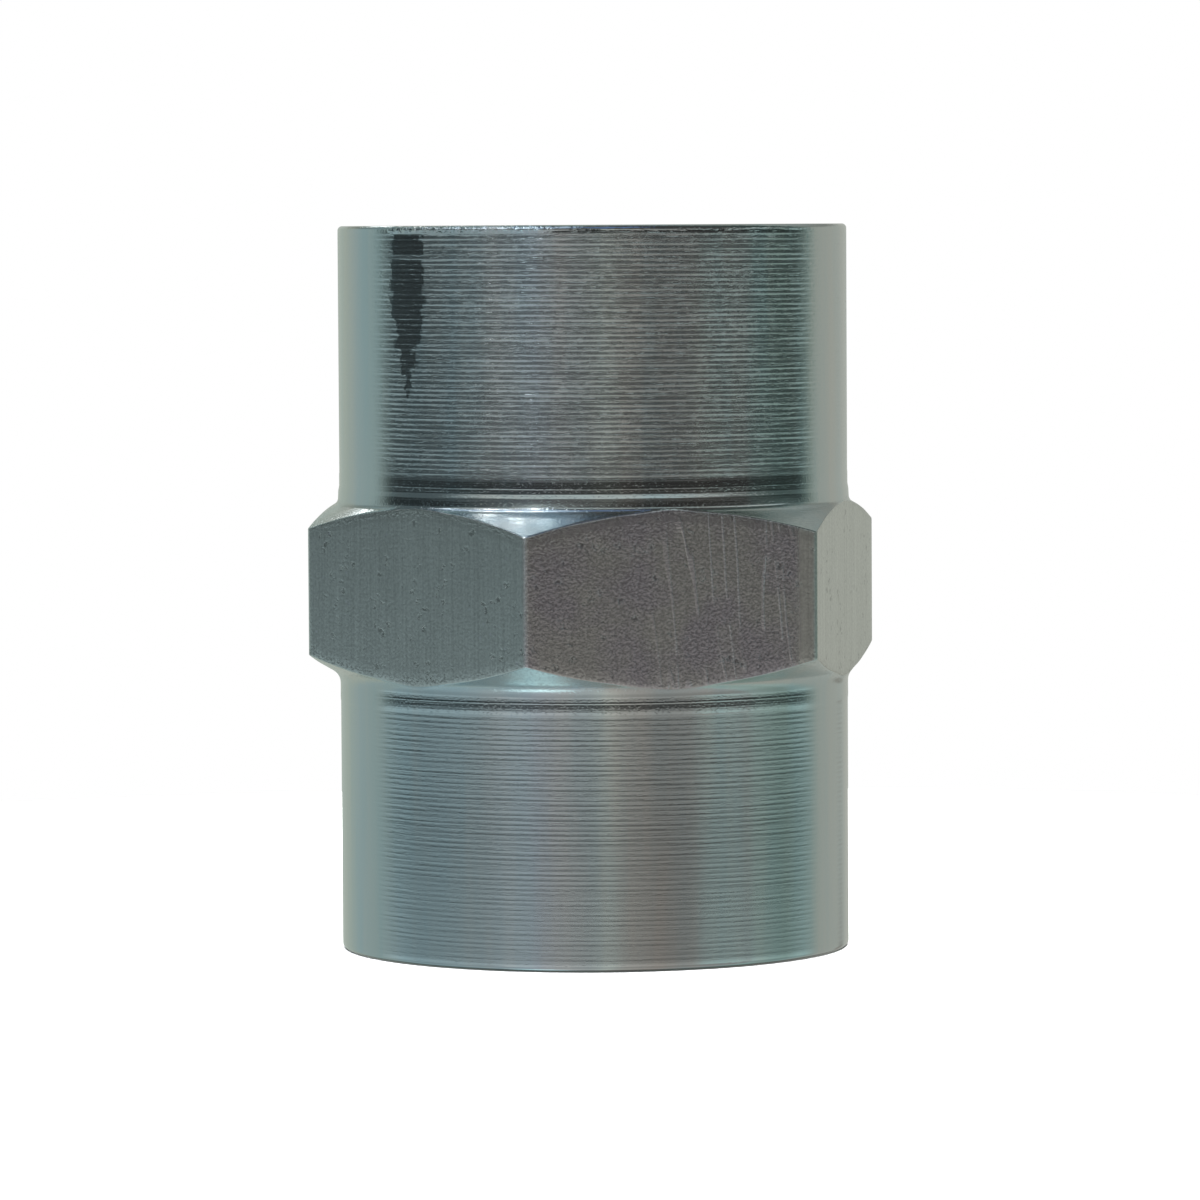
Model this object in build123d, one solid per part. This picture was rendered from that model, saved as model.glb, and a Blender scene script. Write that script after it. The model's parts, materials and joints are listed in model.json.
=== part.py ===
from build123d import *
import os
from math import cos, radians, tan

# A female pipe connector: a short coupling turned from one length of hexagonal steel bar.
# Each end is turned round and drilled for a tapered pipe thread, and the bar's own flats stay
# as a spanner band at mid-length. The drilled wall is the crest line of the thread.
# It stands on its lower end face: the origin is the centre of that face, +Z runs along the
# bore, and two of the six flats face +Y and -Y. All sizes are in millimetres and degrees.

# The bar, 1-1/8 in across its flats
ACROSS_FLATS = 28.575
BAR_CORNER_RADIUS = 0.4

# The outside, the same at both ends
TURNED_DIAMETER = 28.33
TURNED_LENGTH = 15.3  # end face to where the band's chamfer starts
BAND_WIDTH = 9.6  # between the feet of the two chamfers
CHAMFER_ANGLE = 30.0  # band chamfer, measured from the end face
NECK_FILLET = 1.3
RIM_RADIUS = 0.25

# The inside, the same at both ends, drilled for a 1/2 in tapered pipe thread
TAP_DRILL = 18.26
TAP_DEPTH = 17.0  # end face to the shoulder of the drill
DRILL_POINT = 118.0
PASSAGE_DIAMETER = 16.0
MOUTH_DIAMETER = 22.0
COUNTERSINK = 90.0

turned_radius = TURNED_DIAMETER / 2
body_length = 2 * TURNED_LENGTH + BAND_WIDTH
bar_corner_reach = ACROSS_FLATS / 2 / cos(radians(30))


def on_axis_plane(points):
    """Face in the XZ plane with the given (radius, height) corners."""
    return make_face(Polyline(*[(radius, 0, height) for radius, height in points], close=True))


def corners_at(face, radius, heights):
    """Corners of a section that lie at one radius and at any of the given heights."""
    return [
        corner
        for corner in face.vertices()
        if abs(corner.X - radius) < 1e-4 and any(abs(corner.Z - height) < 1e-4 for height in heights)
    ]


def hex_bar():
    """The drawn bar, cut to length, with its six long edges slightly rounded."""
    bar = extrude(RegularPolygon(ACROSS_FLATS / 2, 6, major_radius=False), amount=body_length)
    long_edges = bar.edges().filter_by(Axis.Z)
    return fillet(long_edges, radius=BAR_CORNER_RADIUS)


def turned_outside():
    """Solid swept by the outside outline: rims, round ends, neck fillets and band chamfers.

    The chamfers are cones that run out past the bar's corners, so where they meet the bar's
    flats they leave the curved edges of a chamfered hexagon.
    """
    cone_reach = 1.1 * max(bar_corner_reach, turned_radius)
    cone_rise = (cone_reach - turned_radius) * tan(radians(CHAMFER_ANGLE))
    upper_foot = body_length - TURNED_LENGTH
    section = on_axis_plane(
        [
            (0, 0),
            (turned_radius, 0),
            (turned_radius, TURNED_LENGTH),
            (cone_reach, TURNED_LENGTH + cone_rise),
            (cone_reach, upper_foot - cone_rise),
            (turned_radius, upper_foot),
            (turned_radius, body_length),
            (0, body_length),
        ]
    )
    section = fillet(corners_at(section, turned_radius, [TURNED_LENGTH, upper_foot]), NECK_FILLET)
    section = fillet(corners_at(section, turned_radius, [0, body_length]), RIM_RADIUS)
    return revolve(section, Axis.Z)


def drilled_inside():
    """Solid swept by the inside outline: mouths, tap drill holes, drill points and passage."""
    tap_radius = TAP_DRILL / 2
    mouth_radius = MOUTH_DIAMETER / 2
    passage_radius = PASSAGE_DIAMETER / 2
    mouth_depth = (mouth_radius - tap_radius) / tan(radians(COUNTERSINK / 2))
    point_length = (tap_radius - passage_radius) / tan(radians(DRILL_POINT / 2))
    lower_half = [
        (0, 0),
        (mouth_radius, 0),
        (tap_radius, mouth_depth),
        (tap_radius, TAP_DEPTH),
        (passage_radius, TAP_DEPTH + point_length),
    ]
    upper_half = [(radius, body_length - height) for radius, height in reversed(lower_half)]
    return revolve(on_axis_plane(lower_half + upper_half), Axis.Z)


def connector_body():
    """The bar, turned outside and drilled through."""
    return (hex_bar() & turned_outside()) - drilled_inside()


os.makedirs("parts", exist_ok=True)
export_step(connector_body(), "parts/connector_body.step")
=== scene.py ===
import json
from math import atan, cos, radians, sin, tan

import bmesh
import bpy
import numpy as np
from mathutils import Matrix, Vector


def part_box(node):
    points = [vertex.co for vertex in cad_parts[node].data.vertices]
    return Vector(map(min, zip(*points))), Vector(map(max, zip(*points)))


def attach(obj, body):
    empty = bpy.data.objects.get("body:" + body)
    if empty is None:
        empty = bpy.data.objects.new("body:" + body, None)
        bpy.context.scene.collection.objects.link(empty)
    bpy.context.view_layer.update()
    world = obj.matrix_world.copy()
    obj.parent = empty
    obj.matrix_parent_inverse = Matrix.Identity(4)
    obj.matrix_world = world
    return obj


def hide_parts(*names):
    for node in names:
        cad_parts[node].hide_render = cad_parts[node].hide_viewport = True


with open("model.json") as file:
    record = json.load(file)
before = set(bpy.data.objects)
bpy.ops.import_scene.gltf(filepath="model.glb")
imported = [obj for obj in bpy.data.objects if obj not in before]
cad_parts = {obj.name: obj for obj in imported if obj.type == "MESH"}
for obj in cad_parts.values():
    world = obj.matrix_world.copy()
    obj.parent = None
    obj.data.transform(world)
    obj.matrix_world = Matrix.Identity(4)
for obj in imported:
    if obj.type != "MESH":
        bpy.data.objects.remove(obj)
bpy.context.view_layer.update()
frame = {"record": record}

# Sizes in metres. The coupling stands on its lower end face, with its bore along +Z.
MM = 0.001
lowest, highest = (np.array(corner, dtype=float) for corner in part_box("connector_body"))
mounts = {mount["name"]: mount["dims"] for mount in frame["record"]["mounts"]}

BODY_LENGTH = highest[2] - lowest[2]
HALF_FLATS = (highest[1] - lowest[1]) / 2
CREST_RADIUS = mounts["top_thread"]["r_mm"] * MM
PASSAGE_RADIUS = mounts["passage"]["r_mm"] * MM

BAR_CORNER_RADIUS = 0.4 * MM
TURNED_RADIUS = 14.165 * MM
TURNED_LENGTH = 15.3 * MM
CHAMFER_ANGLE = radians(30)  # from the end face
CHAMFER_NORMAL = radians(60)  # from the end face, and so the turn of the neck's fillet
CHAMFER_SLOPE = tan(CHAMFER_ANGLE)
RIM_RADIUS = 0.25 * MM
EDGE_WEAR = 0.08 * MM
BROKEN_EDGE = 0.05 * MM
CORNER_POINTS = 7  # of the grid, round a corner of the bar
FLAT_POINTS = 36  # and across a flat
DRAWN_ROWS = 6  # each end's last rows, from the worn edge's rim on, show the bar's drawn skin

# The necks were cut apart. For each: where the turning stops, points (rise, depth) of the smooth
# land after it, the land's tilt from there on, and the fillet between the land and the chamfer
LOWER_NECK = {
    "cut_end": 13.85 * MM,
    "land": [(0.006, 14.02), (0.004, 14.28), (0.001, 14.46), (0, 14.62), (0.002, 14.77)],
    "tilt": radians(1.5),
    "fillet": 0.9 * MM,
}
UPPER_NECK = {
    "cut_end": 13.76 * MM,
    "land": [(0, 14.37), (0, 14.41), (0.010, 14.47), (0.045, 14.65), (0.055, 14.71)],
    "tilt": radians(2.5),
    "fillet": 0.4 * MM,
}

MOUTH_RADIUS = 11.0 * MM
TAP_DEPTH = 17.0 * MM
DRILL_POINT_LENGTH = (CREST_RADIUS - PASSAGE_RADIUS) / tan(radians(59))

# The 1/2 in tapered pipe thread: 14 threads to the inch, flanks at 60 degrees, 1 in 16 on diameter
THREAD_PITCH = 25.4 / 14 * MM
FLANK_SLOPE = tan(radians(30))
ROOT_RADIUS_AT_MOUTH = 10.61 * MM
TAPER_ON_RADIUS = 1 / 32
ROOT_HALF_WIDTH = 0.04 * MM
LEAD_START = 12.4 * MM
LEAD_END = 15.9 * MM
PLAIN_WALL = LEAD_END + 0.3 * MM  # depth at which the drilled wall is plain
MOUTH_RING = 0.34 * MM  # depth of the ring on the countersink where the thread runs out
LEAST_FLANK = 0.12 * MM  # keeps the rows apart where the groove has run out

# Turning marks: the tool's feed for one turn of the work, and how far it cut below the land
FEED = 0.27 * MM
CUT_DEPTH = 0.015 * MM

# A wedge rubbed smooth on the upper end: its middle and half its width, by the turn round the
# bore, how far down it starts to narrow and where it ends, and a line that the rubbing missed
RUBBED_MIDDLE = radians(-152.2)
RUBBED_HALF_WIDTH = radians(5.2)
RUBBED_NARROWS = 4.6 * MM
RUBBED_END = 10.4 * MM
MISSED_LINE = 1.7 * MM
# A stretch of the upper rim that is nicked
NICKED_MIDDLE = radians(-137.0)
NICKED_HALF_WIDTH = radians(20)
# Faint rings that the form tools left on the lands, by their height
FORM_RINGS = (14.51 * MM, BODY_LENGTH - 14.13 * MM)
# Where the land gives way to the chamfer, by the distance from the nearest end
LAND_TO_CHAMFER = (14.9 * MM, 15.3 * MM)

# Heights of the marks in millimetres, as the bump takes them. Below zero is cut in.
GROOVES = (-0.004, -0.012)  # between the cusps, where the marks are weak and where strong
FINE_RINGS = 0.006
TEARS = -0.004
TURNED_GRAIN = 0.004
RIM_NICKS = (0.01, 0.12)  # away from the nicked stretch and in it
LAND_RINGS = 0.003
FORM_RING = 0.002
SPECKS = (0.002, 0.006)  # on the land and on the chamfer
DIE_LINES = 0.003
DRAWN_GRAIN = (0.0015, 0.0045)  # on a plain flat and on a worn one
PITS = -0.008
RAGGED_EDGE = -0.01
SCRATCHES = 0.008
FACED_GRAIN = 0.002
BORED_GRAIN = 0.003

# How patterns are drawn out: by 60, 12 or 5 round the work, and by 50, 14 or 12 along the bar
ROUND_WORK = (1 / 60, 1 / 60, 1)
PART_WAY_ROUND = (1 / 12, 1 / 12, 1)
TEAR_WAY = (1 / 5, 1 / 5, 1)
DIE_WAY = (1, 1, 1 / 50)
SCRATCH_WAY = (1, 1, 1 / 14)
FILM_RUNS = (1, 1, 1 / 12)

# Roughness, from about 0.05 for a polished metal to 0.4 for a dull one, matched to the photograph
ROUGHNESS = {
    "rim": 0.06,
    "turned": 0.19,
    "rubbed": 0.09,
    "land": 0.11,
    "chamfer": 0.16,
    "drawn": 0.28,
    "worn": 0.25,
    "faced": 0.25,
    "bored": 0.34,
}

# The photograph's camera: level with the upper rim, 17 degrees left of the -Y flat's normal
CAMERA_AZIMUTH = radians(-17.1)
CAMERA_DISTANCE = 359.8 * MM
CAMERA_PITCH = radians(3.328)
CAMERA_YAW = radians(-0.054)
CAMERA_ROLL = radians(-0.32)
CAMERA_LENS = 193.6
CAMERA_SENSOR = 36.0

TABLE_RADIUS = 100 * MM
TABLE_GAP = 0.01 * MM

# The Mix node's sockets for colours, by number, as its sockets for other types share their names
FACTOR, FIRST, SECOND = 0, 6, 7
COLOURS = {"data_type": "RGBA", "output": 2}
SMOOTH = {"interpolation_type": "SMOOTHSTEP"}


def column_angles():
    """Angles round the axis, from 0 to a full turn, both ends included.

    Each sixth of a turn starts at a corner of the bar. Even steps cross the flat, and closer ones
    go round the corner, whose arc ends where the flat's half-length less the arc's tangent length
    is seen from the axis.
    """
    flat_half_angle = atan((HALF_FLATS - BAR_CORNER_RADIUS) * tan(radians(30)) / HALF_FLATS)
    corner_half_angle = radians(30) - flat_half_angle
    guard = 1.4 * corner_half_angle
    corner = np.linspace(-corner_half_angle, corner_half_angle, CORNER_POINTS)
    flat = np.linspace(guard, radians(60) - guard, FLAT_POINTS)
    half = CORNER_POINTS // 2
    sixth = np.concatenate([corner[half:], flat, radians(60) + corner[:half]])
    turn = np.concatenate([sixth + radians(60) * n for n in range(6)])
    return np.append(turn, radians(360)), corner_half_angle


def bar_radius(angle, corner_half_angle):
    """Distance from the axis to the hexagon bar's surface at each angle.

    On a flat it is the half-width over the cosine of the angle from the flat's middle. Round a
    corner it is the far crossing of the ray with the corner's circle, held inside the CAD's box.
    """
    from_corner = np.abs((angle + radians(30)) % radians(60) - radians(30))
    on_flat = HALF_FLATS / np.cos(radians(30) - from_corner)
    centre = (HALF_FLATS - BAR_CORNER_RADIUS) / cos(radians(30))
    off_line = np.minimum((centre * np.sin(from_corner)) ** 2, BAR_CORNER_RADIUS**2)
    on_corner = centre * np.cos(from_corner) + np.sqrt(BAR_CORNER_RADIUS**2 - off_line)
    on_corner = np.minimum(on_corner, highest[0])
    return np.where(from_corner < corner_half_angle, on_corner, on_flat)


def rings(pairs, columns):
    """Rows of constant radius and depth: each (radius, depth) pair becomes a full ring."""
    radius, depth = np.array(pairs, dtype=float).T
    return np.repeat(radius[:, None], columns, 1), np.repeat(depth[:, None], columns, 1)


def arc_pairs(centre, size, start, end, steps):
    """(radius, depth) pairs round an arc of a section. Angle 0 points outwards, 90 to the face."""
    turn = np.radians(np.linspace(start, end, steps))
    return list(zip(centre[0] + size * np.cos(turn), centre[1] - size * np.sin(turn)))


def root_radius(depth):
    """Radius of the thread's groove bottoms: a 1 in 32 taper, cut short by the tap's lead.

    The lead is a straight fall from the taper's radius at LEAD_START to the crest at LEAD_END.
    """
    taper = ROOT_RADIUS_AT_MOUTH - TAPER_ON_RADIUS * depth
    lead_rise = ROOT_RADIUS_AT_MOUTH - TAPER_ON_RADIUS * LEAD_START - CREST_RADIUS
    lead = CREST_RADIUS + lead_rise * (LEAD_END - depth) / (LEAD_END - LEAD_START)
    return np.maximum(np.minimum(taper, lead), CREST_RADIUS)


def thread_rows(angle):
    """Rows that follow the thread's helix, from its deep end to its mouth.

    Each pitch has a fixed set of rows: the groove's bottom edges, points down both flanks, the
    crest's edges and its middle. A row's depth is its groove's, which grows by one pitch a turn,
    plus its own place across the groove. Depths are held between the plain drilled wall and a
    ring on the countersink, so the helix runs out into both and its spare rows fold onto them.
    The wall is wherever the thread or the countersink lies further out.
    """
    down_flank = np.array([0.0, 0.25, 0.5, 0.75, 0.96])
    side = np.concatenate([[2.0, 1.04], down_flank[::-1]])  # over 1 is on the crest
    turns = int(np.ceil((PLAIN_WALL - MOUTH_RING) / THREAD_PITCH)) + 2
    first = MOUTH_RING - 1.5 * THREAD_PITCH

    groove = np.repeat(np.arange(turns), 2 * len(side) - 1)[:, None]
    across = np.tile(np.concatenate([-side, side[::-1][:-1]]), turns)[:, None]
    groove_depth = first + THREAD_PITCH * (groove + angle[None, :] / radians(360))
    height = root_radius(groove_depth) - CREST_RADIUS
    flank_width = FLANK_SLOPE * np.maximum(height, LEAST_FLANK)
    crest_half = THREAD_PITCH / 2 - ROOT_HALF_WIDTH - flank_width

    share = np.abs(across)
    on_flank = ROOT_HALF_WIDTH + flank_width * np.minimum(share, 1)
    on_crest = crest_half * np.where(share > 1.5, 1.0, 0.12) * (share > 1)
    depth = groove_depth + np.sign(across) * (on_flank + on_crest)
    radius = CREST_RADIUS + height * (1 - np.minimum(share, 1))

    depth = np.clip(depth, MOUTH_RING, PLAIN_WALL)
    radius = np.where(depth >= PLAIN_WALL, CREST_RADIUS, radius)
    radius = np.maximum(radius, MOUTH_RADIUS - depth)
    return radius[::-1], depth[::-1]


def band_rows(angle, reach, base, tilt, fillet):
    """Rows up the neck and the chamfer, over the worn edge and onto the bar's flats.

    Every column goes up the same outline, until it meets the bar's surface at that angle. That
    leaves the curved edges of a chamfered hexagon. The outline is a line from the base point at
    the land's tilt, the fillet's arc, and a line 30 degrees from the end face, each a tangent to
    the next. The worn edge is a parabola between the outline and the flat. Its wear grows with
    the square of the way to the bar's corners and wavers by two sines.
    """
    chamfer_start = TURNED_LENGTH - TURNED_RADIUS * CHAMFER_SLOPE
    foot_radius = base[0] + tan(tilt) * (chamfer_start - base[1])
    foot_radius /= 1 - tan(tilt) * CHAMFER_SLOPE
    foot_depth = TURNED_LENGTH + (foot_radius - TURNED_RADIUS) * CHAMFER_SLOPE
    tangent = fillet * tan((CHAMFER_NORMAL - tilt) / 2)
    centre = (
        foot_radius - tangent * sin(tilt) + fillet * cos(tilt),
        foot_depth - tangent * cos(tilt) - fillet * sin(tilt),
    )
    arc_length = fillet * (CHAMFER_NORMAL - tilt)
    arc_reach = centre[0] - fillet * cos(CHAMFER_NORMAL)
    # Held between 0 and 60 degrees, whose cosines are 1 and 0.5
    turn_at_reach = np.arccos(np.clip((centre[0] - reach) / fillet, 0.5, 1))
    full_length = np.where(
        reach < arc_reach,
        fillet * (turn_at_reach - tilt),
        arc_length + (reach - arc_reach) / cos(CHAMFER_ANGLE),
    )

    def outline(along):
        """(radius, depth) at a distance along the arc and then the line."""
        turn = np.minimum(tilt + along / fillet, CHAMFER_NORMAL)
        on_line = np.maximum(along - arc_length, 0)
        radius = centre[0] - fillet * np.cos(turn) + on_line * cos(CHAMFER_ANGLE)
        depth = centre[1] + fillet * np.sin(turn) + on_line * sin(CHAMFER_ANGLE)
        return radius, depth

    from_corner = np.abs((angle + radians(30)) % radians(60) - radians(30)) / radians(30)
    uneven = 0.25 * np.sin(7 * angle + 1) + 0.2 * np.sin(31 * angle)
    wear = EDGE_WEAR * (1 + 0.6 * from_corner**2 + uneven)
    before = np.minimum(wear, 0.6 * full_length)
    steps = np.linspace(0, 1, 12)[:, None]
    climb = outline((full_length - 1.3 * before) * steps)
    start = outline(full_length - before)
    corner = outline(full_length)
    end = reach, corner[1] + wear

    curve = np.linspace(0, 1, 5)[:, None]
    worn = [
        (1 - curve) ** 2 * start[n] + 2 * curve * (1 - curve) * corner[n] + curve**2 * end[n]
        for n in (0, 1)
    ]
    rise = np.array([0.04, 0.35, 0.7, 1.0])[:, None]
    flat_depth = end[1] + (BODY_LENGTH / 2 - end[1]) * rise
    flat_radius = np.repeat(reach[None, :], len(rise), 0)
    return (
        np.concatenate([climb[0], worn[0], flat_radius]),
        np.concatenate([climb[1], worn[1], flat_depth]),
    )


def half_surface(neck):
    """Radius and depth grids for one end, from the passage's middle to the band's middle.

    Also gives each row's finish, by its place in FINISHES.
    """
    angle, corner_half_angle = column_angles()
    reach = bar_radius(angle, corner_half_angle)
    columns = len(angle)
    point_end = TAP_DEPTH + DRILL_POINT_LENGTH
    broken = BROKEN_EDGE  # every cut edge is broken by a few short steps
    inside = rings(
        [
            (PASSAGE_RADIUS, BODY_LENGTH / 2),
            (PASSAGE_RADIUS, point_end + 3 * broken),
            (PASSAGE_RADIUS, point_end + broken),
            (PASSAGE_RADIUS + broken, point_end - broken / 2),
            (CREST_RADIUS - broken, TAP_DEPTH + broken / 2),
            (CREST_RADIUS, TAP_DEPTH - broken),
            (CREST_RADIUS, PLAIN_WALL),
        ],
        columns,
    )
    thread = thread_rows(angle)
    cut_radius = TURNED_RADIUS - CUT_DEPTH
    rim = (cut_radius - RIM_RADIUS, RIM_RADIUS)
    face = rings(
        [
            (MOUTH_RADIUS - 2 * broken, 2 * broken),
            (MOUTH_RADIUS - broken / 2, 0.6 * broken),
            (MOUTH_RADIUS + broken / 2, broken / 8),
            (MOUTH_RADIUS + 2 * broken, 0),
            (rim[0] - 2 * broken, 0),
        ],
        columns,
    )
    outside = rings(
        arc_pairs(rim, RIM_RADIUS, 90, 0, 8)
        + [
            (cut_radius, 2 * RIM_RADIUS),
            (cut_radius, TURNED_LENGTH / 2),
            (cut_radius, neck["cut_end"] - 6 * CUT_DEPTH),
        ],
        columns,
    )
    land_points = [(TURNED_RADIUS + rise * MM, depth * MM) for rise, depth in neck["land"]]
    land = rings(
        [
            (cut_radius + 0.1 * CUT_DEPTH, neck["cut_end"] - 4 * CUT_DEPTH),
            (TURNED_RADIUS - 0.1 * CUT_DEPTH, neck["cut_end"] + CUT_DEPTH),
            (TURNED_RADIUS, neck["cut_end"] + 3 * CUT_DEPTH),
            *land_points,
        ],
        columns,
    )
    band = band_rows(angle, reach, land_points[-1], neck["tilt"], neck["fillet"])
    blocks = [
        (inside, "drilled"),
        (thread, "tapped"),
        (face, "faced"),
        (outside, "turned"),
        (land, "formed"),
        (band, "formed"),
    ]
    radius = np.concatenate([grid[0] for grid, _ in blocks])
    depth = np.concatenate([grid[1] for grid, _ in blocks])
    names = list(FINISHES)
    finish = np.concatenate([np.full(len(grid[0]), names.index(name)) for grid, name in blocks])
    finish[-DRAWN_ROWS:] = names.index("drawn")
    return angle, radius, depth, finish


def coupling_surface():
    """The whole body as one closed skin.

    Each end is a grid of radius and depth. The upper one is turned end for end, rows and columns
    reversed, which keeps its thread right-handed. Points are (radius cos angle, radius sin angle,
    height). Points that coincide are then merged, which closes both seams and takes away the
    thread's folded rows.
    """
    angle, radius, depth, finish = half_surface(LOWER_NECK)
    _, upper_radius, upper_depth, upper_finish = half_surface(UPPER_NECK)
    radius = np.concatenate([radius, upper_radius[::-1, ::-1]])
    height = np.concatenate([depth, BODY_LENGTH - upper_depth[::-1, ::-1]])
    finish = np.concatenate([finish, upper_finish[::-1]])
    rows, columns = radius.shape
    points = np.stack([radius * np.cos(angle), radius * np.sin(angle), height], -1)

    index = np.arange(rows * columns).reshape(rows, columns)
    corners = [index[:-1, :-1], index[:-1, 1:], index[1:, 1:], index[1:, :-1]]
    faces = np.stack(corners, -1).reshape(-1, 4)
    row_finish = np.where(np.arange(rows - 1) < rows // 2, finish[1:], finish[:-1])

    mesh = bpy.data.meshes.new("coupling_body")
    mesh.from_pydata(points.reshape(-1, 3).tolist(), [], faces.tolist())
    mesh.polygons.foreach_set("material_index", np.repeat(row_finish, columns - 1).astype(np.int32))
    skin = bmesh.new()
    skin.from_mesh(mesh)
    bmesh.ops.remove_doubles(skin, verts=skin.verts, dist=1e-4 * MM)
    skin.to_mesh(mesh)
    skin.free()
    mesh.polygons.foreach_set("use_smooth", np.ones(len(mesh.polygons), dtype=bool))
    piece = bpy.data.objects.new("coupling_body", mesh)
    bpy.context.collection.objects.link(piece)
    return piece


def linear(colour, scale=1.0):
    """An sRGB hex colour as linear red, green, blue and 1, with its brightness scaled."""
    code = np.array([int(colour[n : n + 2], 16) for n in (1, 3, 5)]) / 255
    light = np.where(code <= 0.04045, code / 12.92, ((code + 0.055) / 1.055) ** 2.4)
    return (*(scale * light), 1.0)


def add(tree, kind, inputs=(), output=0, stops=(), **settings):
    """Adds a node and gives back one of its outputs.

    inputs are numbers, colours or the outputs of other nodes, in the order of the sockets, or by
    their names or numbers. stops are a ramp's (place, colour) pairs. The rest are the node's own
    settings.
    """
    made = tree.nodes.new("ShaderNode" + kind)
    for name, setting in settings.items():
        setattr(made, name, setting)
    feeds = inputs if isinstance(inputs, dict) else dict(enumerate(inputs))
    for socket, feed in feeds.items():
        if isinstance(feed, bpy.types.NodeSocket):
            tree.links.new(feed, made.inputs[socket])
        else:
            made.inputs[socket].default_value = feed
    if stops:
        elements = made.color_ramp.elements
        while len(elements) < len(stops):
            elements.new(1.0)
        for element, (at, colour) in zip(elements, stops):
            element.position = at
            element.color = colour
    return None if output is None else made.outputs[output]


def apart(tree, number, other):
    """How far apart two numbers are: the size of their difference."""
    difference = add(tree, "Math", [number, other], operation="SUBTRACT")
    return add(tree, "Math", [difference], operation="ABSOLUTE")


def work_places(tree, place):
    """Places on the work.

    The turn round the bore, the height, the distance from the nearest end and the distance from
    the bore's axis.
    """
    parts = add(tree, "SeparateXYZ", [place]).node.outputs
    turn = add(tree, "Math", [parts["Y"], parts["X"]], operation="ARCTAN2")
    from_middle = apart(tree, parts["Z"], BODY_LENGTH / 2)
    from_end = add(tree, "Math", [BODY_LENGTH / 2, from_middle], operation="SUBTRACT")
    across = add(tree, "CombineXYZ", [parts["X"], parts["Y"]])
    radius = add(tree, "VectorMath", [across], output="Value", operation="LENGTH")
    return turn, parts["Z"], from_end, radius


def passivate(tree, place):
    """The colour of zinc under a thin clear passivate, in runs along the bore.

    It is a pale grey, cooler where the film is thin.
    """
    runs = add(tree, "Mapping", {"Vector": place, "Scale": FILM_RUNS})
    film = add(tree, "TexNoise", {"Vector": runs, "Scale": 1 / (2.5 * MM), "Detail": 4})
    thickness = [(0.35, linear("#b9c6c8")), (0.65, linear("#c6c9c6"))]
    return add(tree, "ValToRGB", [film], stops=thickness)


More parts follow.
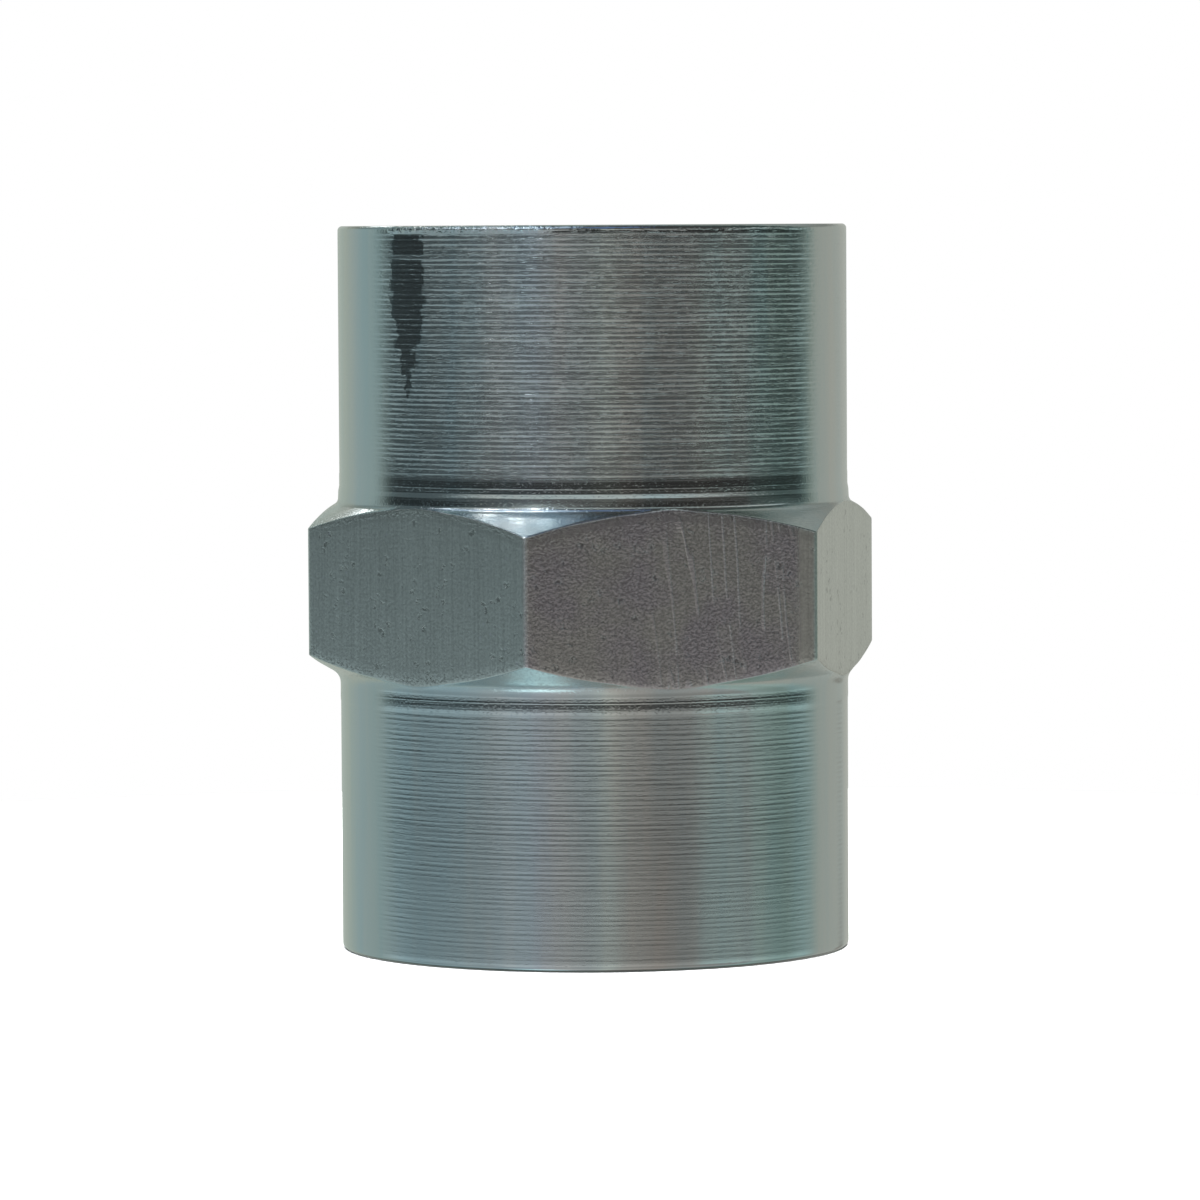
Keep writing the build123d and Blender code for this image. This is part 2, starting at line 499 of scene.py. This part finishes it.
def turned(tree, place):
    """Turned steel: round grooves one feed wide with sharp cusps between them.

    The cusps' height is 1 less the size of a sine along the helix. It is stronger in some places
    than in others and wavers a little. Finer rings, short tears and a grain lie over it. On one
    side of the upper end a wedge has been rubbed smooth, and its rim is nicked. The edge that the
    coupling stands on is darkened in colour: painted shade, standing in for the dark contact with
    the table that its rounded edge would mirror. The plating's own grain, a few thousandths of a
    millimetre, is too fine to show, so it is drawn 0.1 mm wide.
    """
    turn, height, from_end, _ = work_places(tree, place)
    round_work = add(tree, "Mapping", {"Vector": place, "Scale": ROUND_WORK})
    part_way = add(tree, "Mapping", {"Vector": place, "Scale": PART_WAY_ROUND})
    tear_way = add(tree, "Mapping", {"Vector": place, "Scale": TEAR_WAY})

    waver = add(tree, "TexNoise", {"Vector": round_work, "Scale": 1 / (0.8 * MM), "Detail": 3})
    half_turn = add(tree, "Math", [turn, 0.5], operation="MULTIPLY")
    half_turn = add(tree, "Math", [waver, 0.9, half_turn], operation="MULTIPLY_ADD")
    phase = add(tree, "Math", [height, radians(180) / FEED, half_turn], operation="MULTIPLY_ADD")
    groove = add(tree, "Math", [phase], operation="SINE")
    groove = add(tree, "Math", [groove], operation="ABSOLUTE")
    uneven = add(tree, "TexNoise", {"Vector": part_way, "Scale": 1 / (0.4 * MM), "Detail": 3})
    uneven = add(tree, "MapRange", [uneven, 0.35, 0.65, *GROOVES], **SMOOTH)
    marks = add(tree, "Math", [groove, uneven], operation="MULTIPLY")

    fine = add(tree, "TexNoise", {"Vector": round_work, "Scale": 1 / (0.14 * MM), "Detail": 2})
    marks = add(tree, "Math", [fine, FINE_RINGS, marks], operation="MULTIPLY_ADD")
    tears = add(tree, "TexNoise", {"Vector": tear_way, "Scale": 1 / (0.12 * MM), "Detail": 2})
    tears = add(tree, "MapRange", [tears, 0.5, 0.72], **SMOOTH)
    marks = add(tree, "Math", [tears, TEARS, marks], operation="MULTIPLY_ADD")
    grain = add(tree, "TexNoise", {"Vector": place, "Scale": 1 / (0.1 * MM), "Detail": 1})
    marks = add(tree, "Math", [grain, TURNED_GRAIN, marks], operation="MULTIPLY_ADD")

    # The marks are fainter towards the lower end
    fainter = add(tree, "MapRange", [height, 2 * MM, 36 * MM, 0.2, 0.9])
    marks = add(tree, "Math", [marks, fainter], operation="MULTIPLY")

    # The rubbed wedge, by the depth below the upper end, but for the line that was missed
    depth = add(tree, "Math", [BODY_LENGTH, height], operation="SUBTRACT")
    ragged = add(tree, "TexNoise", {"Vector": place, "Scale": 1 / (0.6 * MM), "Detail": 4})
    ragged = add(tree, "MapRange", [ragged, 0.3, 0.7, radians(-1.5), radians(1.5)])
    widths = RUBBED_HALF_WIDTH, radians(-1.3)
    width = add(tree, "MapRange", [depth, RUBBED_NARROWS, RUBBED_END, *widths])
    width = add(tree, "Math", [width, ragged], operation="ADD")
    aside = apart(tree, turn, RUBBED_MIDDLE)
    inside = add(tree, "Math", [width, aside], operation="SUBTRACT")
    inside = add(tree, "MapRange", [inside, radians(-0.4), radians(0.4)])
    missed = apart(tree, depth, MISSED_LINE)
    missed = add(tree, "MapRange", [missed, 0.08 * MM, 0.22 * MM, 0.25, 1])
    rubbed = add(tree, "Math", [inside, missed], operation="MULTIPLY")
    left = add(tree, "MapRange", [rubbed, 0, 1, 1, 0.32])
    marks = add(tree, "Math", [marks, left], operation="MULTIPLY")
    shine = ROUGHNESS["rim"], ROUGHNESS["turned"]
    dull = add(tree, "MapRange", [from_end, 0.3 * MM, 0.5 * MM, *shine])
    changed = {"Value": rubbed, "To Min": dull, "To Max": ROUGHNESS["rubbed"]}
    roughness = add(tree, "MapRange", changed)

    # The nicked rim
    nicks = add(tree, "TexNoise", {"Vector": place, "Scale": 1 / (0.25 * MM), "Detail": 2})
    aside = apart(tree, turn, NICKED_MIDDLE)
    limits = NICKED_HALF_WIDTH + radians(3), NICKED_HALF_WIDTH - radians(3)
    nicked = add(tree, "MapRange", [aside, *limits, *RIM_NICKS])
    at_rim = add(tree, "MapRange", [depth, 0.45 * MM, 0.25 * MM])
    nicked = add(tree, "Math", [nicked, at_rim], operation="MULTIPLY")
    marks = add(tree, "Math", [nicks, nicked, marks], operation="MULTIPLY_ADD")
    # Painted shade on the edge it stands on: its colour is darkened there, standing in for the dark
    # contact with the table that the edge would mirror
    painted_contact_shade = add(tree, "MapRange", [height, 0.09 * MM, 0.16 * MM, 0.22, 1])
    film = passivate(tree, place)
    film = add(tree, "VectorMath", {"Vector": film, "Scale": painted_contact_shade}, operation="SCALE")
    return {"height": marks, "roughness": roughness, "grain": 0.7, "colour": film}


def formed(tree, place):
    """Steel cut by a form tool: smooth enough to mirror the room, with faint rings and specks.

    The specks are the plating's, drawn 0.14 mm wide, as the real ones are too fine to show. They
    are stronger on the chamfer, which is duller than the land.
    """
    _, height, from_end, _ = work_places(tree, place)
    round_work = add(tree, "Mapping", {"Vector": place, "Scale": ROUND_WORK})
    fine = add(tree, "TexNoise", {"Vector": round_work, "Scale": 1 / (0.1 * MM), "Detail": 2})
    surface = add(tree, "Math", [fine, LAND_RINGS], operation="MULTIPLY")
    specks = add(tree, "TexNoise", {"Vector": place, "Scale": 1 / (0.14 * MM), "Detail": 3})
    specks = add(tree, "MapRange", [specks, 0.5, 0.75], **SMOOTH)
    speckled = add(tree, "MapRange", [from_end, *LAND_TO_CHAMFER, *SPECKS])
    surface = add(tree, "Math", [specks, speckled, surface], operation="MULTIPLY_ADD")
    for ring_height in FORM_RINGS:
        ring = apart(tree, height, ring_height)
        ring = add(tree, "MapRange", [ring, 0.07 * MM, 0, 0, FORM_RING], **SMOOTH)
        surface = add(tree, "Math", [surface, ring], operation="ADD")
    shine = ROUGHNESS["land"], ROUGHNESS["chamfer"]
    roughness = add(tree, "MapRange", [from_end, *LAND_TO_CHAMFER, *shine])
    return {"height": surface, "roughness": roughness}


def drawn(tree, place):
    """The bar's own drawn skin: die lines along it, a grain, pits, and long scratches.

    Every other flat is worn. There the grain is coarse and dark, and one half is scratched. The
    real grain and die lines are finer than a pixel of the photograph, 0.06 mm, so both are drawn
    about 0.15 mm wide.
    """
    turn, _, from_end, radius = work_places(tree, place)
    worn = add(tree, "Math", [turn, 3.0, 0.09], operation="MULTIPLY_ADD")
    worn = add(tree, "Math", [worn], operation="SINE")
    worn = add(tree, "MapRange", [worn, 0.05, 0.13], **SMOOTH)

    along_bar = add(tree, "Mapping", {"Vector": place, "Scale": DIE_WAY})
    lines = add(tree, "TexNoise", {"Vector": along_bar, "Scale": 1 / (0.16 * MM), "Detail": 3})
    height = add(tree, "Math", [lines, DIE_LINES], operation="MULTIPLY")

    patches = add(tree, "TexNoise", {"Vector": place, "Scale": 1 / (3 * MM), "Detail": 4})
    coarse = add(tree, "MapRange", [patches, 0.35, 0.65, 0.35, 1])
    grain = add(tree, "TexNoise", {"Vector": place, "Scale": 1 / (0.15 * MM), "Detail": 3})
    grain = add(tree, "MapRange", [grain, 0.35, 0.65])
    strength = add(tree, "Math", [worn, coarse], operation="MULTIPLY")
    bumps = add(tree, "MapRange", [strength, 0, 1, *DRAWN_GRAIN])
    height = add(tree, "Math", [grain, bumps, height], operation="MULTIPLY_ADD")

    cells = add(tree, "TexVoronoi", {"Vector": place, "Scale": 1 / (0.6 * MM)}, output="Distance")
    ragged = add(tree, "Math", [grain, 0.3, cells], operation="MULTIPLY_ADD")
    pits = add(tree, "MapRange", [ragged, 0.48, 0.28], **SMOOTH)
    here = add(tree, "TexNoise", {"Vector": place, "Scale": 1 / (1.6 * MM), "Detail": 2})
    here = add(tree, "MapRange", [here, 0.5, 0.62], **SMOOTH)
    pits = add(tree, "Math", [pits, here], operation="MULTIPLY")
    height = add(tree, "Math", [pits, PITS, height], operation="MULTIPLY_ADD")

    # The grain is cut deeper along the flat's curved edge, which leaves that edge ragged
    rise = add(tree, "Math", [radius, TURNED_RADIUS], operation="SUBTRACT")
    edge = add(tree, "Math", [rise, CHAMFER_SLOPE, TURNED_LENGTH], operation="MULTIPLY_ADD")
    in_from_edge = add(tree, "Math", [from_end, edge], operation="SUBTRACT")
    near = add(tree, "MapRange", [in_from_edge, 0.6 * MM, 0.1 * MM, 0, RAGGED_EDGE])
    height = add(tree, "Math", [grain, near, height], operation="MULTIPLY_ADD")

    # Scratches run a little aslant, broken, on one half of each worn flat
    aslant = {"Vector": place, "Angle": radians(5)}
    aslant = add(tree, "VectorRotate", aslant, rotation_type="Y_AXIS")
    scratch_way = add(tree, "Mapping", {"Vector": aslant, "Scale": SCRATCH_WAY})
    scratch = add(tree, "TexNoise", {"Vector": scratch_way, "Scale": 1 / (1.1 * MM), "Detail": 1})
    scratch = apart(tree, scratch, 0.5)
    scratch = add(tree, "MapRange", [scratch, 0.03, 0.01], **SMOOTH)
    broken = add(tree, "MapRange", [patches, 0.6, 0.46], **SMOOTH)
    scratch = add(tree, "Math", [scratch, broken], operation="MULTIPLY")
    one_side = add(tree, "Math", [turn, 3.0], operation="MULTIPLY")
    one_side = add(tree, "Math", [one_side], operation="COSINE")
    one_side = add(tree, "MapRange", [one_side, 0.7, -0.3], **SMOOTH)
    scratch = add(tree, "Math", [scratch, one_side], operation="MULTIPLY")
    scratch = add(tree, "Math", [scratch, worn], operation="MULTIPLY")
    height = add(tree, "Math", [scratch, SCRATCHES, height], operation="MULTIPLY_ADD")

    # The skin's colour: in patches where worn, shaded by the grain, the die lines and the pits,
    # and pale where it is scratched or nicked
    tone = add(tree, "MapRange", [patches, 0.4, 0.6])
    films = {FIRST: linear("#c2c4c2"), SECOND: linear("#bab9bf")}
    rubbed = add(tree, "Mix", {FACTOR: tone, **films}, **COLOURS)
    skin = add(tree, "Mix", {FACTOR: worn, FIRST: linear("#cacdc8"), SECOND: rubbed}, **COLOURS)
    contrast = add(tree, "MapRange", [strength, 0, 1, 0.2, 0.32])
    shade = add(tree, "Math", [grain, 0.5], operation="SUBTRACT")
    shade = add(tree, "Math", [shade, contrast, 1.0], operation="MULTIPLY_ADD")
    streaks = add(tree, "MapRange", [worn, 0, 1, 0.5, 0.2])
    stained = add(tree, "Math", [lines, 0.5], operation="SUBTRACT")
    shade = add(tree, "Math", [stained, streaks, shade], operation="MULTIPLY_ADD")
    shade = add(tree, "Math", [pits, -0.3, shade], operation="MULTIPLY_ADD")
    skin = add(tree, "VectorMath", {"Vector": skin, "Scale": shade}, operation="SCALE")
    nicks = add(tree, "TexVoronoi", {"Vector": place, "Scale": 1 / (0.9 * MM)}, output="Distance")
    nicks = add(tree, "MapRange", [nicks, 0.12, 0.05])
    nicks = add(tree, "Math", [nicks, coarse], operation="MULTIPLY")
    pale = add(tree, "Math", [scratch, nicks], operation="MAXIMUM")
    pale = add(tree, "Math", [pale, 0.8], operation="MULTIPLY")
    skin = add(tree, "Mix", {FACTOR: pale, FIRST: skin, SECOND: linear("#d6d6da")}, **COLOURS)
    shine = ROUGHNESS["drawn"], ROUGHNESS["worn"]
    roughness = add(tree, "MapRange", [worn, 0, 1, *shine])
    return {"height": height, "roughness": roughness, "colour": skin}


def faced(tree, place):
    """Steel faced across the end: smooth, with a faint even grain from the plating.

    The grain is drawn 0.2 mm wide, as the real one is too fine to show.
    """
    grain = add(tree, "TexNoise", {"Vector": place, "Scale": 1 / (0.2 * MM), "Detail": 3})
    height = add(tree, "Math", [grain, FACED_GRAIN], operation="MULTIPLY")
    return {"height": height, "roughness": ROUGHNESS["faced"]}


def bored(tree, place):
    """Steel cut inside by a drill or a tap: duller, where little of the plating's shine gets to.

    The grain is drawn 0.2 mm wide, as the real one is too fine to show.
    """
    grain = add(tree, "TexNoise", {"Vector": place, "Scale": 1 / (0.2 * MM), "Detail": 3})
    height = add(tree, "Math", [grain, BORED_GRAIN], operation="MULTIPLY")
    return {"height": height, "roughness": ROUGHNESS["bored"]}


FINISHES = {
    "turned": turned,
    "formed": formed,
    "drawn": drawn,
    "faced": faced,
    "tapped": bored,
    "drilled": bored,
}


def zinc_plated(name, cut):
    """Zinc plated steel under a thin clear passivate: a pale metal, cool where the film is thin.

    cut gives the steel's finish under the plating: its height in millimetres, its roughness and,
    where it has them, its grain and its own colour. The grain stretches the shine along the bore,
    across the turning marks.
    """
    material = bpy.data.materials.new(name + "_zinc_plated_steel")
    material.use_nodes = True
    tree = material.node_tree
    tree.nodes.clear()
    place = add(tree, "TexCoord", output="Object")
    finish = cut(tree, place)
    colour = finish.get("colour") or passivate(tree, place)
    normal = add(tree, "Bump", {"Height": finish["height"], "Distance": MM, "Strength": 1.0})
    round_bore = add(tree, "Tangent", direction_type="RADIAL", axis="Z")
    shader = add(
        tree,
        "BsdfPrincipled",
        {
            "Base Color": colour,
            "Metallic": 1.0,
            "Roughness": finish["roughness"],
            "Anisotropic": finish.get("grain", 0.0),
            "Anisotropic Rotation": 0.25,
            "Normal": normal,
            "Tangent": round_bore,
        },
    )
    add(tree, "OutputMaterial", {"Surface": shader}, output=None)
    return material


def table_top():
    """A round white table top just under the work, and a soft light over it.

    The metal mirrors neither, since the room round it is drawn in the world. Points are
    (radius cos turn, radius sin turn, minus the gap).
    """
    turn = np.linspace(0, radians(360), 128, endpoint=False)
    round_table = TABLE_RADIUS * np.cos(turn), TABLE_RADIUS * np.sin(turn)
    points = np.stack([*round_table, np.full(len(turn), -TABLE_GAP)], -1)
    mesh = bpy.data.meshes.new("table_top")
    mesh.from_pydata(points.tolist(), [], [list(range(len(turn)))])
    top = bpy.data.objects.new("table_top", mesh)
    bpy.context.collection.objects.link(top)
    material = bpy.data.materials.new("white_laminate")
    material.use_nodes = True
    shader = material.node_tree.nodes["Principled BSDF"]
    shader.inputs["Base Color"].default_value = linear("#f4f4f2")
    shader.inputs["Roughness"].default_value = 0.9
    shader.inputs["Specular IOR Level"].default_value = 0.0
    mesh.materials.append(material)
    top.visible_glossy = False

    soft = bpy.data.lights.new("overhead_softbox", "AREA")
    soft.shape = "DISK"
    soft.size = 0.9
    soft.energy = 24.0
    lamp = bpy.data.objects.new("overhead_softbox", soft)
    lamp.location = (0, 0, 0.8)
    lamp.visible_glossy = False
    bpy.context.collection.objects.link(lamp)


# The room that the metal mirrors, in degrees as seen from the coupling. Azimuth 0 is towards the
# photograph's camera and positive to its right. Each stop is a number, a colour and a brightness.
ROOM_BY_AZIMUTH = [
    (-180, "#f4faf8", 1.1),
    (-148, "#f0faf8", 1.1),
    (-135, "#e2f5ff", 1.1),
    (-112, "#e2f5fc", 1.05),
    (-104, "#d8f0f6", 0.95),
    (-88, "#d4ecf4", 0.82),
    (-60, "#d7e8ee", 0.92),
    (-38, "#d9e6ee", 0.98),
    (-28, "#e2e6f0", 1.05),
    (-15, "#ebebec", 1.0),
    (-3, "#ebebea", 0.93),
    (6, "#eef2ec", 1.06),
    (13, "#efebe6", 0.86),
    (30, "#efe6e0", 0.7),
    (74, "#e3e8e8", 0.76),
    (75.5, "#d6f0ee", 0.93),
    (96, "#cdeae2", 0.78),
    (110, "#d6f0ee", 1.0),
    (124, "#ffffff", 1.0),
]
FRONT_BY_ELEVATION = [
    (-40, "#ffffff", 0.75),
    (-24, "#ffffff", 0.56),
    (-14, "#ffffff", 0.56),
    (-9, "#ffffff", 0.84),
    (-6, "#ffffff", 0.75),
    (-4.7, "#ffffff", 0.2),
    (-3, "#ffffff", 0.08),
    (4.5, "#ffffff", 0.04),
    (9, "#ffffff", 0.2),
    (20, "#ffffff", 0.22),
    (27, "#ffffff", 0.12),
    (60, "#ffffff", 0.13),
]
BACK_BY_ELEVATION = [
    (12, "#e6e9e0", 0.62),
    (22, "#e6e9e0", 0.36),
    (36, "#e2ebe6", 0.5),
    (70, "#e2ebe6", 0.5),
]
# Where the front gives way to the back: the azimuth of the front's middle, and how far to each
# side of it the change starts and ends
BACK_TURN = 2.0
BACK_FROM = (102, 120)
# Panels of light: azimuths and elevations between which each comes in and goes out, its colour
# and its brightness. The first is a window high on the left, the second a low strip light, and
# the others are bright places on the table.
PANELS = [
    (-105, -75, -16, -4, 34, 46, 68, 84, "#cbe1fa", 1.0),
    (-78, -62, 92, 104, 14, 17, 24, 26, "#e4eeee", 0.85),
    (-50, -38, -32, -24, -18, -12, -8, -4, "#e6ecf0", 0.82),
    (42, 54, 66, 78, -15, -11, -8, -4, "#d8f0ee", 0.76),
]
# Lamps: azimuth, elevation, half width, softness, colour and brightness
LAMPS = [
    (10, 54, 12, 6, "#9dbcf0", 0.5),
    (-30, 33, 3, 1, "#f0f4ff", 18.0),
    (-52, 33, 3, 1, "#f0f4ff", 14.0),
    (-76, 33, 3, 1, "#f0f4ff", 9.0),
    (-36, 60, 3, 1, "#f8faff", 7.0),
    (-56, 60, 3, 1, "#f8faff", 9.0),
    (-82, 60, 3, 1, "#f8faff", 9.0),
    (-38, -60, 8, 6, "#d8f2f6", 2.0),
    (-161, 30, 4, 2, "#ffffff", 4.0),
    (150, -12, 4, 4, "#e6e2d6", 0.4),
]


def studio_world():
    """The room round the coupling.

    In front, a belt of soft light lies over a dark horizon, above a white table and under a dark
    ceiling. Light panels and lamps stand in it. White paper stands behind. What the camera itself
    sees is plain white.
    """
    world = bpy.data.worlds.new("studio")
    bpy.context.scene.world = world
    world.use_nodes = True
    tree = world.node_tree
    tree.nodes.clear()
    direction = add(tree, "TexCoord", output="Generated")
    seen_from_lens = add(
        tree,
        "VectorRotate",
        {"Vector": direction, "Angle": -CAMERA_AZIMUTH},
        rotation_type="Z_AXIS",
    )
    parts = add(tree, "SeparateXYZ", [seen_from_lens]).node.outputs
    towards = add(tree, "Math", [parts["Y"], -1.0], operation="MULTIPLY")
    azimuth = add(tree, "Math", [parts["X"], towards], operation="ARCTAN2")
    azimuth = add(tree, "Math", [azimuth], operation="DEGREES")
    elevation = add(tree, "Math", [parts["Z"]], operation="ARCSINE")
    elevation = add(tree, "Math", [elevation], operation="DEGREES")

    def along(stops, low, high):
        """A ramp's stops, with their numbers as shares of a range."""
        return [((at - low) / (high - low), linear(*light)) for at, *light in stops]

    across = add(tree, "MapRange", [azimuth, -180, 180])
    upward = add(tree, "MapRange", [elevation, -90, 90])
    tint = add(tree, "ValToRGB", [across], stops=along(ROOM_BY_AZIMUTH, -180, 180))
    front = add(tree, "ValToRGB", [upward], stops=along(FRONT_BY_ELEVATION, -90, 90))
    back = add(tree, "ValToRGB", [upward], stops=along(BACK_BY_ELEVATION, -90, 90))
    aside = apart(tree, azimuth, BACK_TURN)
    behind = add(tree, "MapRange", [aside, *BACK_FROM], **SMOOTH)
    room = add(tree, "Mix", {FACTOR: behind, FIRST: front, SECOND: back}, **COLOURS)
    tinted = {FACTOR: 1.0, FIRST: room, SECOND: tint}
    room = add(tree, "Mix", tinted, blend_type="MULTIPLY", **COLOURS)

    for left, left_full, right_full, right, low, low_full, high_full, high, *light in PANELS:
        lit = 1.0
        for number, *limits in [
            (azimuth, left, left_full),
            (azimuth, right, right_full),
            (elevation, low, low_full),
            (elevation, high, high_full),
        ]:
            inside = add(tree, "MapRange", [number, *limits], **SMOOTH)
            lit = add(tree, "Math", [lit, inside], operation="MULTIPLY")
        panel = linear(*light)
        room = add(tree, "Mix", {FACTOR: lit, FIRST: room, SECOND: panel}, **COLOURS)

    for side, up, half_width, soft, colour, brightness in LAMPS:
        side, up = radians(side), radians(up)
        centre = (sin(side) * cos(up), -cos(side) * cos(up), sin(up))
        pair = [seen_from_lens, centre]
        nearness = add(tree, "VectorMath", pair, output="Value", operation="DOT_PRODUCT")
        edges = cos(radians(half_width + soft)), cos(radians(max(half_width - soft, 0)))
        lit = add(tree, "MapRange", [nearness, *edges], **SMOOTH)
        lamp = linear(colour, brightness)
        room = add(tree, "Mix", {FACTOR: lit, FIRST: room, SECOND: lamp}, **COLOURS)

    seen = add(tree, "LightPath", output="Is Camera Ray")
    paper = linear("#ffffff")
    shown = add(tree, "Mix", {FACTOR: seen, FIRST: room, SECOND: paper}, **COLOURS)
    light = add(tree, "Background", {"Color": shown, "Strength": 1.0})
    add(tree, "OutputWorld", {"Surface": light}, output=None)


def photo_camera():
    """The photograph's camera, level with the upper rim and tipped down to the coupling."""
    lens = bpy.data.cameras.new("photo_camera")
    lens.lens = CAMERA_LENS
    lens.sensor_fit = "HORIZONTAL"
    lens.sensor_width = CAMERA_SENSOR
    camera = bpy.data.objects.new("photo_camera", lens)
    bpy.context.collection.objects.link(camera)
    camera.location = (
        CAMERA_DISTANCE * sin(CAMERA_AZIMUTH),
        -CAMERA_DISTANCE * cos(CAMERA_AZIMUTH),
        BODY_LENGTH,
    )
    camera.rotation_euler = (radians(90) - CAMERA_PITCH, 0, CAMERA_AZIMUTH + CAMERA_YAW)
    camera.rotation_euler.rotate_axis("Z", CAMERA_ROLL)
    bpy.context.scene.camera = camera


body = coupling_surface()
for name, cut in FINISHES.items():
    body.data.materials.append(zinc_plated(name, cut))
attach(body, "root")
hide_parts("connector_body")
table_top()
studio_world()
photo_camera()
bpy.context.scene.view_settings.view_transform = "Standard"
